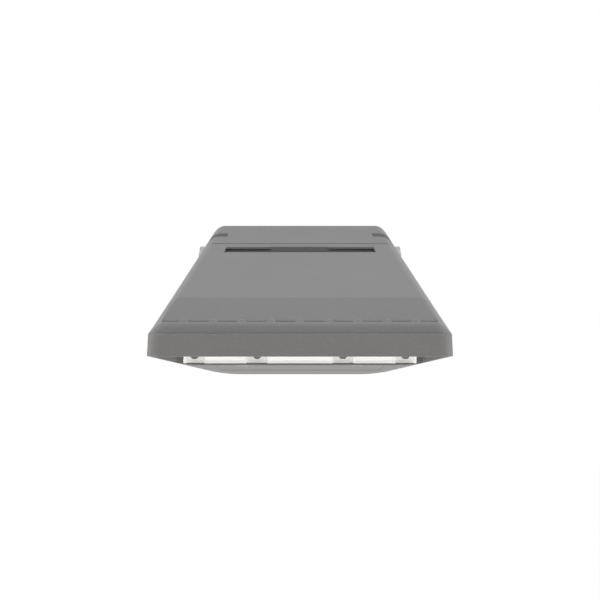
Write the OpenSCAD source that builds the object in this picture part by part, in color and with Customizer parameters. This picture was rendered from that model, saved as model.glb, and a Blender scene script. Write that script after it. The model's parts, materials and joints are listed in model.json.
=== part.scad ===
// Wall-mounted street light: a wedge-shaped cast head on a shallow wall box.
// The wall face is the plane Y = 0 with its middle at the origin. The light
// reaches towards -Y, its lens looks down, and Z is up. All sizes are in mm.
// A place along the light is often given as its distance from the front lip.

/* [Outline] */
// Reach from the wall to the front lip
reach = 297; // [290:1:310]
// Height of the back, where it meets the wall
back_h = 193.2; // [190:0.2:202]
// Width of the back, where it meets the wall
back_w = 243.8; // [240:0.2:248]
// Width of the front lip
front_w = 314; // [309:1:320]
// Height of the front lip
lip_h = 22.2; // [21:0.2:25]
// Lower edge of the lip against the middle of the wall face
lip_z = -57; // [-60:0.5:-55]
// Rise of the lip's lower edge at its ends
lip_rise = 0.2; // [0.1:0.1:1]
// Radius of the lip's upright corners
lip_corner_r = 16; // [12:1:22]
// Draft of the lip's ends from bottom to top
lip_draft = 1.2; // [0.6:0.1:2]
// Ledge on top of the lip: distance from the lip to its end
ledge_d = 2.8; // [2.5:0.1:3.1]
// Ridge behind the lip: distance from the lip
ridge_d = 9; // [8.5:0.5:10]
// Ridge behind the lip: height
ridge_z = -22; // [-23:0.5:-21]
// Radius of the ridge's rounded front
ridge_r = 5.5; // [5:0.1:5.6]
// Crease across the top: distance from the lip
crease_d = 55; // [48:1:62]
// Crease across the top: height
crease_z = 2.7; // [0:0.1:5]
// Height of the rounded shoulder at the wall
shoulder_h = 30; // [27:0.2:34]
// From the sides to the top's flat part, at the opening behind the ridge
flat_in_front = 15.5; // [14:0.1:17]
// From the sides to the top's flat part, at the crease
flat_in_crease = 23; // [21:0.1:25]
// From the sides to the top's flat part, at the wall
flat_in_back = 24.3; // [23:0.1:28]
// From the sides to the line where the top and the shoulders would meet: at the opening
edge_in_front = 11.9; // [10:0.1:13]
// From the sides to the line where the top and the shoulders would meet: at the crease
edge_in_crease = 14.1; // [12:0.1:16]
// From the sides to the line where the top and the shoulders would meet: at the wall
edge_in_back = 10.8; // [10:0.1:14]
// Rise of the underside from its middle to its sides, at the wall
crown_h = 5.7; // [4.5:0.1:7]
// Flat half-width of the underside at the wall
crown_flat = 78; // [74:1:84]
// Distance from the lip at which the underside's edges begin to fall
crown_start_d = 9.4; // [8:0.2:11]

/* [Casting] */
// Wall of the head's castings
wall = 4; // [3.5:0.1:4.5]
// Skin of the top cover
skin = 3; // [2.6:0.1:3.4]
// Wall of the wall box
box_wall = 6.5; // [6:0.1:7]
// Depth of the wall box
box_depth = 69.5; // [66:0.5:74]
// Gap between the head and the wall box
seam_gap = 0.5; // [0.4:0.1:0.8]

/* [Air path] */
// Opening behind the ridge: step up to the cover's front edge
vent_step = 0.7; // [0.4:0.1:1.5]
// Opening behind the ridge, along the light
vent_len = 9; // [7:0.5:10]
// From the lip's ends to the opening behind the ridge
vent_side = 16.2; // [14.6:0.1:20]
// Number of bridges over the opening
bridge_count = 9; // [5:2:11]
// From the ends of the opening to the middle of the outer bridges
bridge_side = 21.6; // [14:0.2:30]
// Width of a bridge
bridge_w = 10.5; // [9:0.5:13]
// Rise of the bridges over the rim of the opening
bridge_rise = 1.7; // [1.2:0.1:3]
// Thickness of a cooling fin
fin_t = 3; // [2.5:0.1:4]
// Outlet slot in the top: distance of its ends from the sides of the back
slot_side = 31.9; // [27:0.1:36]
// Outlet slot in the top: length along the light
slot_len = 18; // [14:0.5:20]
// Outlet slot in the top: distance from the wall to its rear edge
slot_from_wall = 82.3; // [81:0.1:88]
// Depth of the deflector under the slot's rear edge
deflector_h = 11; // [8:0.5:13]
// Height of the air duct over the driver bay
duct_h = 20; // [17:0.5:24]

/* [Hinge of the head] */
// Radius of the rolled rear edge about the hinge
hinge_r = 9; // [8.5:0.1:10]
// Radius of the hinge pins
hinge_pin_r = 3; // [2.5:0.1:3.2]
// Length of a hinge pin
hinge_pin_len = 32; // [26:1:38]
// Distance of each hinge from the middle
hinge_x = 80; // [70:1:88]
// Thickness of a hinge lug
lug_t = 8; // [6:0.5:10]
// Width of the groove in front of the seam
groove_w = 3; // [2.8:0.1:4.5]

/* [Lamp] */
// From the lip's ends to the ends of the lens
lens_side = 35; // [33:0.5:38]
// Length of the lens
lens_len = 86; // [80:1:88]
// Front wall of the lens: distance from the lip
lens_d = 38; // [34:1:39]
// Lowest face of the lens against the middle of the wall face
lens_z = -66.3; // [-68:0.1:-65]
// Thickness of the lens
lens_t = 3; // [2.5:0.1:4]
// Underside of the lamp plate
plate_z = -50; // [-51:0.1:-48]
// Thickness of the lamp plate
plate_t = 4; // [3:0.1:5]
// Thickness of the lens gasket
lens_gasket_t = 1.5; // [1:0.1:2]
// Width of a screw pocket in the lens
pocket_w = 22; // [18:0.5:24]
// Wall that stands at the lens's ends beside the outer pockets
pocket_end = 2.5; // [1.5:0.1:3]
// Length of a screw pocket in the lens
pocket_len = 12; // [11:0.5:13]
// Seat of the screw heads in the pockets
pocket_z = -57.5; // [-58.5:0.1:-56.5]
// Distance of the inner lens screws from the middle
lens_screw_in = 45.2; // [42:0.1:52]
// Distance of the outer lens screws from the lens's ends
lens_screw_side = 11; // [10.8:0.1:16]
// Radius of a lens screw's head
lens_screw_head_r = 4.7; // [4:0.1:5.2]
// Radius of the small screws
screw_r = 2; // [1.6:0.1:2.2]
// Lamps along one row
chip_cols = 12; // [6:1:14]
// Rows of lamps
chip_rows = 3; // [2:1:4]
// Side of one lamp
chip_side = 3.5; // [3:0.1:4]

/* [Driver bay and door] */
// From the sides of the back to the bay
bay_side = 13.9; // [12:0.1:17]
// Thickness of the bay's walls
bay_t = 3; // [2.5:0.1:3.5]
// Thickness of the door
door_t = 5; // [4.5:0.1:6]
// From the ends of the bay to the ends of the door
door_side = 12; // [11:0.5:16]
// Gap round the door
door_gap = 0.5; // [0.4:0.1:0.8]
// Width of the ledge that the door closes on
ledge_w = 5; // [4:0.5:6]
// Radius of the door's hinge knuckle
door_knuckle_r = 3.2; // [3:0.1:3.5]
// Radius of the door's hinge pins
door_pin_r = 1.5; // [1.2:0.1:1.7]
// Distance of each door latch from the door's end
latch_side = 30; // [20:1:40]
// Radius of a door latch's head
latch_r = 8; // [7:0.5:9]
// Radius of a door latch's shank
latch_shank_r = 3.5; // [3:0.1:4]
// Room across the bay that the driver leaves free
driver_beside = 60; // [54:1:80]
// Room along the bay that the driver leaves free
driver_spare = 31; // [27:1:41]
// Height of the driver
driver_h = 34; // [28:1:38]

/* [Wall side] */
// Half-distance of the wall bolts across the wall face
bolt_x = 80; // [70:1:84]
// Half-distance of the wall bolts up the wall face
bolt_z = 55; // [48:1:58]
// Radius of the wall bolt holes
bolt_r = 3.3; // [2.8:0.1:4]
// Distance between the two junction box screws
jbox_pitch = 88.9; // [83:0.1:89]
// Radius of the supply entry in the wall face
entry_r = 11; // [9:0.5:12]
// Height of the supply entry over the middle of the wall face
entry_z = 25; // [22:1:28]
// Distance of the conduit plugs from the wall
plug_from_wall = 28; // [26:1:34]
// Distance of the conduit plugs below the top of the back
plug_below = 40.8; // [40:0.2:48]
// Radius of a conduit plug's head
plug_head_r = 12.3; // [11.5:0.1:13]
// Radius of a conduit plug's shank
plug_r = 10; // [9:0.1:10.5]
// Distance that a conduit plug stands out of the side
plug_proud = 3.5; // [2.8:0.1:5.8]
// Depth of the seat of a conduit plug's head
plug_sink = 5.5; // [4.5:0.1:6]
// Corner notch: distance from the wall to its rear edge
notch_from_wall = 30; // [27:0.5:33]
// Corner notch: length along the light
notch_len = 13.5; // [11:0.5:15]
// Corner notch: distance of its inner end from the side of the back
notch_side = 30.9; // [27:0.1:36]
// Corner notch: depth
notch_depth = 4.2; // [3:0.1:4.6]

/* [Hidden] */

// Clearances
running = 0.05;
slack = 0.4;
stand_off = 0.3;
over = 1;
deep = 20;
far = 400;

// Steps of the rounded shoulder and of the crowned underside
shoulder_steps = 10;
crown_steps = 4;
corner_step = 15;
smooth = 48;

casting_grey = [0.50, 0.50, 0.51];
rubber_black = [0.10, 0.10, 0.10];
zinc = [0.74, 0.74, 0.73];
steel = [0.62, 0.62, 0.63];
board_white = [0.92, 0.92, 0.90];

// Widths that follow the outline
vent_w = front_w - 2 * vent_side;
bridge_pitch = (vent_w - 2 * bridge_side) / (bridge_count - 1);
slot_w = back_w - 2 * slot_side;
lens_w = front_w - 2 * lens_side;
lens_screw_out = lens_w / 2 - lens_screw_side;
bay_half = back_w / 2 - bay_side;
door_half = bay_half - door_side;
latch_x = door_half - latch_side;
driver_w = 2 * (bay_half - bay_t) - driver_beside;
notch_x = back_w / 2 - notch_side;
plug_z = back_h / 2 - plug_below;

// Distances from the front lip
vent_end_d = ridge_d + vent_len;
vent_end_z = ridge_z + vent_step;
seam_d = reach - box_depth;
head_d = seam_d - seam_gap;
lens_end_d = lens_d + lens_len;
bulkhead_d = lens_end_d + 2;
bay_front_d = bulkhead_d + bay_t;
bay_end_d = head_d - wall;
bay_back_d = bay_end_d - bay_t;
driver_len = bay_back_d - bay_front_d - driver_spare;

function lerp(a, b, t) = a + (b - a) * t;
function bend(a, b, c, t) = lerp(lerp(a, b, t), lerp(b, c, t), t);
function ramp(d, d0, d1, a, b) = lerp(a, b, (d - d0) / (d1 - d0));
function y_at(d) = d - reach;

// Outline of the light at a distance d from the lip
function corner_in(d) = d < lip_corner_r
    ? lip_corner_r - sqrt(pow(lip_corner_r, 2) - pow(lip_corner_r - d, 2))
    : 0;
function half_top(d) =
    ramp(max(d, lip_corner_r), lip_corner_r, reach, front_w / 2 - lip_draft, back_w / 2)
    - corner_in(d);
function half_low(d) =
    ramp(max(d, lip_corner_r), lip_corner_r, reach, front_w / 2, back_w / 2 + lip_draft / 2)
    - corner_in(d);
function low_z(d) = ramp(d, 0, reach, lip_z, -back_h / 2);
function side_low_z(d) =
    ramp(max(d, crown_start_d), crown_start_d, reach, lip_z + lip_rise, -back_h / 2 + crown_h);
function flat_half(d) = ramp(d, 0, reach, front_w / 2 - lip_corner_r - 2, crown_flat);
function under_z(d, x) = let (t = (x - flat_half(d)) / (half_low(d) - flat_half(d)))
    t < 0 ? low_z(d) : lerp(low_z(d), side_low_z(d), t * t);
function shoulder_z(d) =
    ramp(max(d, lip_corner_r), lip_corner_r, reach, lip_z + lip_h, back_h / 2 - shoulder_h);
function three(d, a, b, c) =
    d < crease_d ? ramp(max(d, vent_end_d), vent_end_d, crease_d, a, b) : ramp(d, crease_d, reach, b, c);
function flat_top(d) = half_top(d) - three(d, flat_in_front, flat_in_crease, flat_in_back);
function edge_top(d) = half_top(d) - three(d, edge_in_front, edge_in_crease, edge_in_back);
function top_z(d) =
    d <= ledge_d ? lip_z + lip_h + lip_rise * 2
    : d < ridge_front_d ? ramp(d, ledge_d, ridge_front_d, lip_z + lip_h + lip_rise * 2, ridge_z - ridge_r)
    : d < ridge_d ? ridge_z - ridge_r + sqrt(max(0, pow(ridge_r, 2) - pow(ridge_d - d, 2)))
    : d < vent_end_d ? ramp(d, ridge_d, vent_end_d, ridge_z, vent_end_z)
    : d < crease_d ? ramp(d, vent_end_d, crease_d, vent_end_z, crease_z)
    : ramp(d, crease_d, reach, crease_z, back_h / 2);
function parting_z(d) = side_low_z(d) + lip_h;
edge_inset = 0.6;

// Right half of the outline, from the underside up, set in by a wall
function right_side(d, inset) =
    let (top = max(top_z(d) - inset, shoulder_z(d) + slack))
    concat(
        [for (i = [0:crown_steps]) let (t = i / crown_steps)
            [lerp(flat_half(d) - inset, half_low(d) - inset, t),
             lerp(low_z(d), side_low_z(d), t * t) + inset]],
        [for (i = [0:shoulder_steps]) let (t = i / shoulder_steps)
            [bend(half_top(d) - inset, edge_top(d) - inset * edge_inset, flat_top(d), t),
             bend(shoulder_z(d), top, top, t)]]
    );
function outline(d, inset) =
    let (right = right_side(d, inset), n = len(right))
    concat(right, [for (i = [n - 1:-1:0]) [-right[i][0], right[i][1]]]);

// Distances at which the outline is taken between two ends
corner_d = [for (a = [0:corner_step:90]) lip_corner_r * (1 - cos(a))];
ridge_front_d = ridge_d - ridge_r;
ridge_arc_d = [for (a = [0:22.5:90]) ridge_d - ridge_r * cos(a)];
all_d = concat(corner_d, ridge_arc_d, [ledge_d, crown_start_d, vent_end_d, crease_d, reach]);
function sorted(v) = len(v) < 2 ? v
    : let (p = v[0])
      concat(sorted([for (x = v) if (x < p) x]), [p], sorted([for (x = v) if (x > p) x]));
function stations(d0, d1) =
    sorted(concat([d0, d1], [for (d = all_d) if (d > d0 + stand_off && d < d1 - stand_off) d]));

// Solid between two distances, its skin set in by a wall
module loft(d0, d1, inset = 0) {
    stops = stations(d0, d1);
    n = len(outline(d0, inset));
    last = len(stops) - 1;
    points = [for (d = stops) for (p = outline(d, inset)) [p[0], y_at(d), p[1]]];
    sides = [for (s = [0:last - 1]) for (i = [0:n - 1])
        let (j = (i + 1) % n, a = s * n + i, b = s * n + j, c = (s + 1) * n + j, e = (s + 1) * n + i)
        each [[a, b, c], [a, c, e]]];
    front = [[for (i = [n - 1:-1:0]) i]];
    back = [[for (i = [0:n - 1]) last * n + i]];
    polyhedron(points, concat(front, sides, back));
}

// Shape drawn in Y and Z, stretched across X about the middle
module across(w) {
    rotate([90, 0, 90]) linear_extrude(w, center = true) children();
}

// Block between two corners; Y is given as distances from the lip
module block(x0, x1, d0, d1, z0, z1) {
    translate([x0, y_at(d0), z0]) cube([x1 - x0, d1 - d0, z1 - z0]);
}

// Rods along each axis; y and z are places, not distances from the lip
module rod_x(x0, x1, y, z, r) {
    translate([x0, y, z]) rotate([0, 90, 0]) cylinder(h = x1 - x0, r = r, $fn = smooth);
}
module rod_y(x, y0, y1, z, r) {
    translate([x, y1, z]) rotate([90, 0, 0]) cylinder(h = y1 - y0, r = r, $fn = smooth);
}
module rod_z(x, y, z0, z1, r) {
    translate([x, y, z0]) cylinder(h = z1 - z0, r = r, $fn = smooth);
}

module both_sides() {
    children();
    mirror([1, 0, 0]) children();
}

// Everything below the line where the cover meets the casting under it
module below_parting(d0, d1) {
    across(far) polygon([
        [y_at(d0), -far], [y_at(d1), -far], [y_at(d1), parting_z(d1)], [y_at(d0), parting_z(d0)]
    ]);
}

// Hinge of the head: its axis lies under the top, so that the rolled edge is
// tangent to the top's slope
seam_y = -box_depth;
top_slope = atan((back_h / 2 - crease_z) / (reach - crease_d));
hinge_y = seam_y - groove_w * cos(top_slope) + hinge_r * sin(top_slope);
hinge_z = top_z(seam_d) - groove_w * sin(top_slope) - hinge_r * cos(top_slope);
relief_r = hinge_r + slack;
lug_r = hinge_pin_r * 2;
lug_room_r = lug_r + 0.5;
lug_arm_top = 2;
lug_under_top = 2;
lug_len = 24;
lug_rise = 11.5;
lug_back_y = seam_y + lug_len;
lug_rise_y = seam_y + lug_rise;

// Places on the wall box
gasket_in = 1.4;
gasket_w = 2.2;
gasket_depth = 3;
gasket_top_z = hinge_z - hinge_r - 6;
wall_gasket_side = 21.9;
wall_gasket_end = 18.6;
wall_gasket_x = back_w / 2 - wall_gasket_side;
wall_gasket_z = back_h / 2 - wall_gasket_end;
wall_gasket_w = 8;
wall_gasket_t = 2.5;
plug_y = -plug_from_wall;
plug_side_x = half_top(reach - plug_from_wall);
plug_out_x = plug_side_x + plug_proud;
plug_seat_x = plug_side_x - plug_sink;
plug_room_r = plug_head_r + slack;
plug_boss_r = plug_head_r + 3.5;
plug_boss_in_x = half_top(reach) - box_wall - 8;
socket_x = 12;
socket_z0 = -36;
socket_z1 = -18;
socket_front_y = seam_y + 17;
plug_face_y = socket_front_y - stand_off;
lock_side = 16;
lock_x = bay_half - lock_side;
lock_z = side_low_z(seam_d) + 17;
lock_r = 2.5;
lock_room_r = 3.4;
lock_reach = 9;
lock_flange_t = 6;
lock_flange_half = 9;
ground_x = -60;
ground_z = -20;
terminal_half = 26;
terminal_z0 = -72;
terminal_z1 = -50;
terminal_depth = 18;
lead_r = 1.6;

module ring_outline(d, inset, w) {
    difference() {
        polygon(outline(d, inset));
        polygon(outline(d, inset + w));
    }
}

// Seal in the rim of the wall box, open under the hinge
module rim_ring(y0, y1) {
    intersection() {
        translate([0, y1, 0]) rotate([90, 0, 0])
            linear_extrude(y1 - y0) ring_outline(seam_d, gasket_in, gasket_w);
        translate([-far, y0 - over, -far]) cube([2 * far, far, far + gasket_top_z]);
    }
}

module wall_ring(y0, y1) {
    difference() {
        translate([-wall_gasket_x - wall_gasket_w, y0, -wall_gasket_z - wall_gasket_w])
            cube([2 * (wall_gasket_x + wall_gasket_w), y1 - y0, 2 * (wall_gasket_z + wall_gasket_w)]);
        translate([-wall_gasket_x, y0 - over, -wall_gasket_z])
            cube([2 * wall_gasket_x, y1 - y0 + 2 * over, 2 * wall_gasket_z]);
    }
}

// Shallow groove over the top corners of the wall box
module corner_notch() {
    d0 = reach - notch_from_wall - notch_len;
    d1 = reach - notch_from_wall;
    slant = 1.2;
    difference() {
        translate([0, 0, plug_z + plug_boss_r + over]) linear_extrude(far) polygon([
            [notch_x + slant, y_at(d0)], [far, y_at(d0)], [far, y_at(d1)], [notch_x, y_at(d1)]
        ]);
        loft(d0 - over, d1 + over, notch_depth);
    }
}

// Arm of the wall box that carries a hinge pin
module hinge_lug() {
    rod_x(-lug_t / 2, lug_t / 2, hinge_y, hinge_z, lug_r);
    across(lug_t) polygon([
        [hinge_y, hinge_z - lug_r],
        [lug_back_y, hinge_z - lug_r],
        [lug_back_y, top_z(lug_back_y + reach) - lug_under_top],
        [lug_rise_y, top_z(lug_rise_y + reach) - lug_under_top],
        [lug_rise_y, hinge_z + lug_arm_top],
        [hinge_y, hinge_z + lug_arm_top]
    ]);
}

module wall_box() color(casting_grey) {
    difference() {
        union() {
            difference() {
                loft(seam_d, reach);
                loft(seam_d - over, reach - box_wall, box_wall);
                rod_x(-far, far, hinge_y, hinge_z, relief_r);
            }
            // Flanges that take the lock screws
            both_sides() intersection() {
                loft(seam_d, reach, box_wall / 2);
                translate([lock_x - lock_flange_half, seam_y, -far])
                    cube([2 * lock_flange_half, lock_flange_t, far + lock_z + lock_flange_half]);
            }
            // Bosses behind the recessed seats of the conduit plugs
            both_sides() intersection() {
                loft(seam_d, reach, box_wall / 2);
                rod_x(plug_boss_in_x, far / 2, plug_y, plug_z, plug_boss_r);
            }
            both_sides() translate([hinge_x, 0, 0]) hinge_lug();
        }
        both_sides() corner_notch();
        both_sides() rod_x(hinge_x - lug_t, hinge_x + lug_t, hinge_y, hinge_z, hinge_pin_r);
        both_sides() rod_x(plug_boss_in_x - over, plug_out_x, plug_y, plug_z, plug_r);
        both_sides() rod_x(plug_seat_x, plug_out_x + 4 * over, plug_y, plug_z, plug_room_r);
        both_sides() rod_y(lock_x, seam_y - over, seam_y + lock_flange_t + over, lock_z, lock_room_r);
        rim_ring(seam_y - over, seam_y + gasket_depth);
        wall_ring(-wall_gasket_t, over);
        for (x = [-bolt_x, bolt_x], z = [-bolt_z, bolt_z])
            rod_y(x, -box_wall - over, over, z, bolt_r);
        for (x = [-jbox_pitch / 2, jbox_pitch / 2])
            rod_y(x, -box_wall - over, over, entry_z, bolt_r);
        rod_y(0, -box_wall - over, over, entry_z, entry_r);
    }
}

module wall_gasket() color(rubber_black) wall_ring(-wall_gasket_t, 0);

module head_gasket() color(rubber_black) rim_ring(seam_y - seam_gap + stand_off, seam_y + gasket_depth);

// Threaded plug with a round head and a square key on it
module conduit_plug() color(zinc) {
    key = 7;
    key_h = 1.5;
    chamfer = 1;
    head_x = plug_out_x - key_h;
    rod_x(plug_boss_in_x - 2 * over, head_x - chamfer, plug_y, plug_z, plug_r - running);
    translate([0, plug_y, plug_z]) rotate([0, 90, 0]) rotate_extrude($fn = smooth) polygon([
        [0, plug_seat_x], [plug_head_r, plug_seat_x], [plug_head_r, head_x - chamfer],
        [plug_head_r - chamfer, head_x], [0, head_x]
    ]);
    translate([head_x - chamfer, plug_y - key / 2, plug_z - key / 2])
        cube([plug_out_x - head_x + chamfer, key, key]);
}
module conduit_plug_right() conduit_plug();
module conduit_plug_left() mirror([1, 0, 0]) conduit_plug();

module hinge_pins() color(steel) both_sides()
    rod_x(hinge_x - hinge_pin_len / 2, hinge_x + hinge_pin_len / 2, hinge_y, hinge_z, hinge_pin_r);

module terminal_block() color([0.86, 0.84, 0.78]) {
    pole_pitch = 2 * terminal_half / 3;
    pole_r = 2.6;
    pole_depth = 4;
    step = 6;
    difference() {
        union() {
            translate([-terminal_half, -box_wall - terminal_depth, terminal_z0 + step])
                cube([2 * terminal_half, terminal_depth, terminal_z1 - terminal_z0 - 2 * step]);
            translate([-terminal_half, -box_wall - terminal_depth / 2, terminal_z0])
                cube([2 * terminal_half, terminal_depth / 2, terminal_z1 - terminal_z0]);
        }
        for (i = [-1:1])
            rod_y(i * pole_pitch, -box_wall - terminal_depth - over,
                -box_wall - terminal_depth + pole_depth, (terminal_z0 + terminal_z1) / 2, pole_r);
    }
}

module ground_screw() color([0.15, 0.45, 0.22]) {
    head_r = 5;
    head_t = 4;
    slot_depth = 1.4;
    slot_t = 1.2;
    difference() {
        rod_y(ground_x, -box_wall - head_t, -box_wall, ground_z, head_r);
        translate([ground_x - head_r - over, -box_wall - head_t - over, ground_z - slot_t / 2])
            cube([2 * (head_r + over), slot_depth + over, slot_t]);
    }
}

// Half of the supply connector that stays with the wall box, on its post
module power_socket() color([0.16, 0.16, 0.17]) {
    face = 3;
    depth = 20;
    translate([-socket_x, socket_front_y, socket_z0])
        cube([2 * socket_x, depth, socket_z1 - socket_z0]);
    translate([-socket_x + face, socket_front_y + depth, socket_z0 + face])
        cube([
            2 * (socket_x - face), -box_wall - socket_front_y - depth,
            socket_z1 - socket_z0 - 2 * face
        ]);
}

// Three leads from the terminal block up to the socket
module supply_leads() color([0.12, 0.12, 0.13]) {
    pitch = 7;
    lead_y = socket_front_y + 10;
    lead_z = (terminal_z0 + terminal_z1) / 2 + 2 * lead_r;
    for (x = [-pitch, 0, pitch]) {
        rod_z(x, lead_y, lead_z, socket_z0, lead_r);
        rod_y(x, lead_y, -box_wall - terminal_depth, lead_z, lead_r);
        translate([x, lead_y, lead_z]) sphere(r = lead_r, $fn = 24);
    }
}

// Everything of the head that lies in front of its rear faces and rolled edge
module head_side() {
    run = tan(top_slope);
    foot = (hinge_y - (seam_y - seam_gap)) / run;
    across(far) polygon([
        [hinge_y - far / 4 * run, hinge_z + far / 4],
        [hinge_y, hinge_z],
        [seam_y - seam_gap, hinge_z + min(0, foot)],
        [seam_y - seam_gap, -far],
        [y_at(-over), -far],
        [y_at(-over), far]
    ]);
    rod_x(-far / 2, far / 2, hinge_y, hinge_z, hinge_r);
}

// Room in the rolled edge for a hinge lug and for its arm when the head lifts
module lug_room() {
    half = lug_t / 2 + slack;
    height = 2 * hinge_r;
    rod_x(-half, half, hinge_y, hinge_z, lug_room_r);
    translate([-half, hinge_y, hinge_z - hinge_r - over]) cube([2 * half, hinge_r + over, height]);
}

// Recesses beside the lens: width of the rim round them, and height of their roof
side_rim = 5.5;
side_roof_z = plate_z - wall;

// Cover screws: distance from the lip, distance from the middle, and height of
// the face that they are driven from; the first two pairs start in the recesses
boss_r = 5;
boss_seat = 1.8;
boss_in = 16.9;
boss_front = 30;
boss_middle = 6;
boss_rear = 24;
boss_beside = 11;
boss_d = [boss_front, lens_end_d - boss_middle, head_d - boss_rear];
boss_x = [
    half_low(boss_d[0]) - boss_in, lens_w / 2 + boss_beside, half_low(boss_d[2]) - boss_in
];
boss_z = [side_roof_z, side_roof_z, under_z(boss_d[2], boss_x[2])];
post_start = [wall, wall, wall + 1.5];
post_top = 57.5;
post_hole = 18;
module at_bosses() {
    both_sides() for (i = [0:2]) translate([boss_x[i], y_at(boss_d[i]), boss_z[i]]) children();
}

// Posts that the cover screws hold, each with a rib out to the cover's side
module posts() {
    rib_z = 40;
    rib_t = 3;
    rib_h = 13.5;
    both_sides() for (i = [0:2]) translate([boss_x[i], y_at(boss_d[i]), 0]) {
        foot = boss_z[i] + post_start[i];
        under = under_z(boss_d[i], boss_x[i]);
        translate([0, 0, foot]) cylinder(h = under + post_top - foot, r = boss_r, $fn = smooth);
        translate([0, -rib_t / 2, under + rib_z]) cube([far, rib_t, rib_h]);
    }
}

fin_x = [for (i = [0:bridge_count - 1]) (i - (bridge_count - 1) / 2) * bridge_pitch];
fin_gap = 0.5;
bridge_seat = 4;
plate_side = 5;
bridge_axis_z = vent_end_z + bridge_rise - bridge_w / 2;
fin_front_z = bridge_axis_z - bridge_w / 2 - fin_gap;
lens_top_z = plate_z - lens_gasket_t;
pocket_d = [lens_d + pocket_len / 2, lens_end_d - pocket_len / 2];
lens_screw_at = [for (x = [lens_screw_in, lens_screw_out], d = pocket_d) [x, d]];
board_in = pocket_len + lens_t + 1;
lead_in = 8;
lead_rise = 18;
led_lead_x = fin_x[3] - bridge_pitch / 2;
led_lead_d = lens_end_d - board_in - lead_in;
led_lead_z = plate_z + plate_t + lead_rise;

module top_cover() color(casting_grey) {
    difference() {
        union() {
            intersection() {
                difference() {
                    loft(ridge_d, seam_d + hinge_r);
                    loft(ridge_d - over, bay_end_d, skin);
                    below_parting(-over, reach);
                    translate([-vent_w / 2, y_at(ridge_d - over), lip_z])
                        cube([vent_w, vent_len + over, far]);
                    outlet_slot();
                }
                head_side();
            }
            intersection() {
                loft(ridge_d, head_d, skin / 2);
                posts();
            }
            deflector();
            // Bridges over the opening
            for (x = fin_x) translate([x, 0, 0]) bridge();
        }
        at_bosses() translate([0, 0, -over]) cylinder(h = post_hole, r = screw_r, $fn = smooth);
        both_sides() translate([hinge_x, 0, 0]) lug_room();
        both_sides() rod_x(hinge_x - hinge_pin_len / 2 - over, hinge_x + hinge_pin_len / 2 + over,
            hinge_y, hinge_z, hinge_pin_r + running);
        rod_y(0, y_at(bay_back_d), y_at(seam_d), wire_z, grommet_r);
    }
}

// Bridge with a domed front end, which stands a little over the top
module bridge() {
    bump_r = bridge_w / 2;
    rod_y(0, y_at(ridge_d) + bump_r, y_at(vent_end_d + bridge_seat), bridge_axis_z, bump_r);
    translate([0, y_at(ridge_d) + bump_r, bridge_axis_z]) sphere(r = bump_r, $fn = 32);
}

// Slot with slanted ends, a little longer in its middle
slot_slant = 1.5;
module outlet_slot() {
    d1 = reach - slot_from_wall;
    d0 = d1 - slot_len;
    slant = slot_slant;
    middle = 36;
    translate([0, 0, top_z(d0) - 4 * skin]) linear_extrude(far) polygon([
        [-slot_w / 2 - slant, y_at(d0)], [slot_w / 2 + slant, y_at(d0)],
        [slot_w / 2, y_at(d1)], [middle, y_at(d1)], [middle - slant, y_at(d1 + slant)],
        [slant - middle, y_at(d1 + slant)], [-middle, y_at(d1)], [-slot_w / 2, y_at(d1)]
    ]);
}

// Wall under the slot's rear edge that turns the warm air out
module deflector() {
    d = reach - slot_from_wall + slot_slant;
    half = slot_w / 2 + slot_slant;
    across(2 * half) polygon([
        [y_at(d), top_z(d) - skin / 2 - deflector_h], [y_at(d + skin), top_z(d) - skin / 2 - deflector_h],
        [y_at(d + skin), top_z(d) - skin / 2], [y_at(d), top_z(d) - skin / 2]
    ]);
}

// Places in the driver bay
grommet_r = 8;
wire_z = (socket_z0 + socket_z1) / 2;
bay_roof_front = top_z(bulkhead_d) - skin - duct_h;
bay_roof_back = top_z(bay_end_d) - skin - duct_h;
bracket_t = 2;
bracket_z = 4;
bracket_from_bay = 8;
bracket_end = 5;
bracket_d0 = bay_front_d + bracket_from_bay;
bracket_d1 = bracket_d0 + driver_len + 2 * bracket_end;
bracket_lip = 20;
bracket_half = bay_half - bay_t;
door_from_bay = 6;
door_d0 = bay_front_d + over;
door_d1 = bay_back_d - door_from_bay;
door_axis_d = door_d1 - door_knuckle_r;
door_axis_z = low_z(door_axis_d) + door_t / 2;
underside_slope = atan((low_z(0) - low_z(reach)) / reach);
bay_floor_t = door_t + wall;
knuckle_room_r = door_knuckle_r + door_gap + stand_off;
latch_in = 10;
latch_d = door_d0 + latch_in;
latch_tip = 15;
latch_seat = 2.5;
latch_play = 1.2;
latch_room_r = latch_shank_r + latch_play;
latch_pad = 9;
pin_out = 6;
pin_in = 10;
pin_end_x = door_half + pin_out;
pin_start_x = door_half - pin_in;

// Slab that follows the underside, between two heights over it
module floor_slab(d0, d1, h0, h1, half) {
    across(2 * half) polygon([
        [y_at(d0), low_z(d0) + h0], [y_at(d1), low_z(d1) + h0],
        [y_at(d1), low_z(d1) + h1], [y_at(d0), low_z(d0) + h1]
    ]);
}

module fin(x) {
    translate([x, 0, 0]) across(fin_t) polygon([
        [y_at(ridge_d), plate_z + plate_t / 2],
        [y_at(bulkhead_d), plate_z + plate_t / 2],
        [y_at(bulkhead_d), top_z(bulkhead_d) - skin - 2 * fin_gap],
        [y_at(crease_d), crease_z - skin - 2 * fin_gap],
        [y_at(vent_end_d + bridge_seat), fin_front_z],
        [y_at(ridge_d), fin_front_z]
    ]);
}

// Recess between the lens and the side, up to its roof
module side_recess() {
    ends = [wall, lip_corner_r / 2, lip_corner_r, lens_end_d];
    translate([0, 0, -far]) linear_extrude(far + side_roof_z) polygon(concat(
        [[lens_w / 2, y_at(lens_end_d)], [lens_w / 2, y_at(wall)]],
        [for (d = ends) [half_low(d) - side_rim - corner_in(d) / 2, y_at(d)]]
    ));
}

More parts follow.
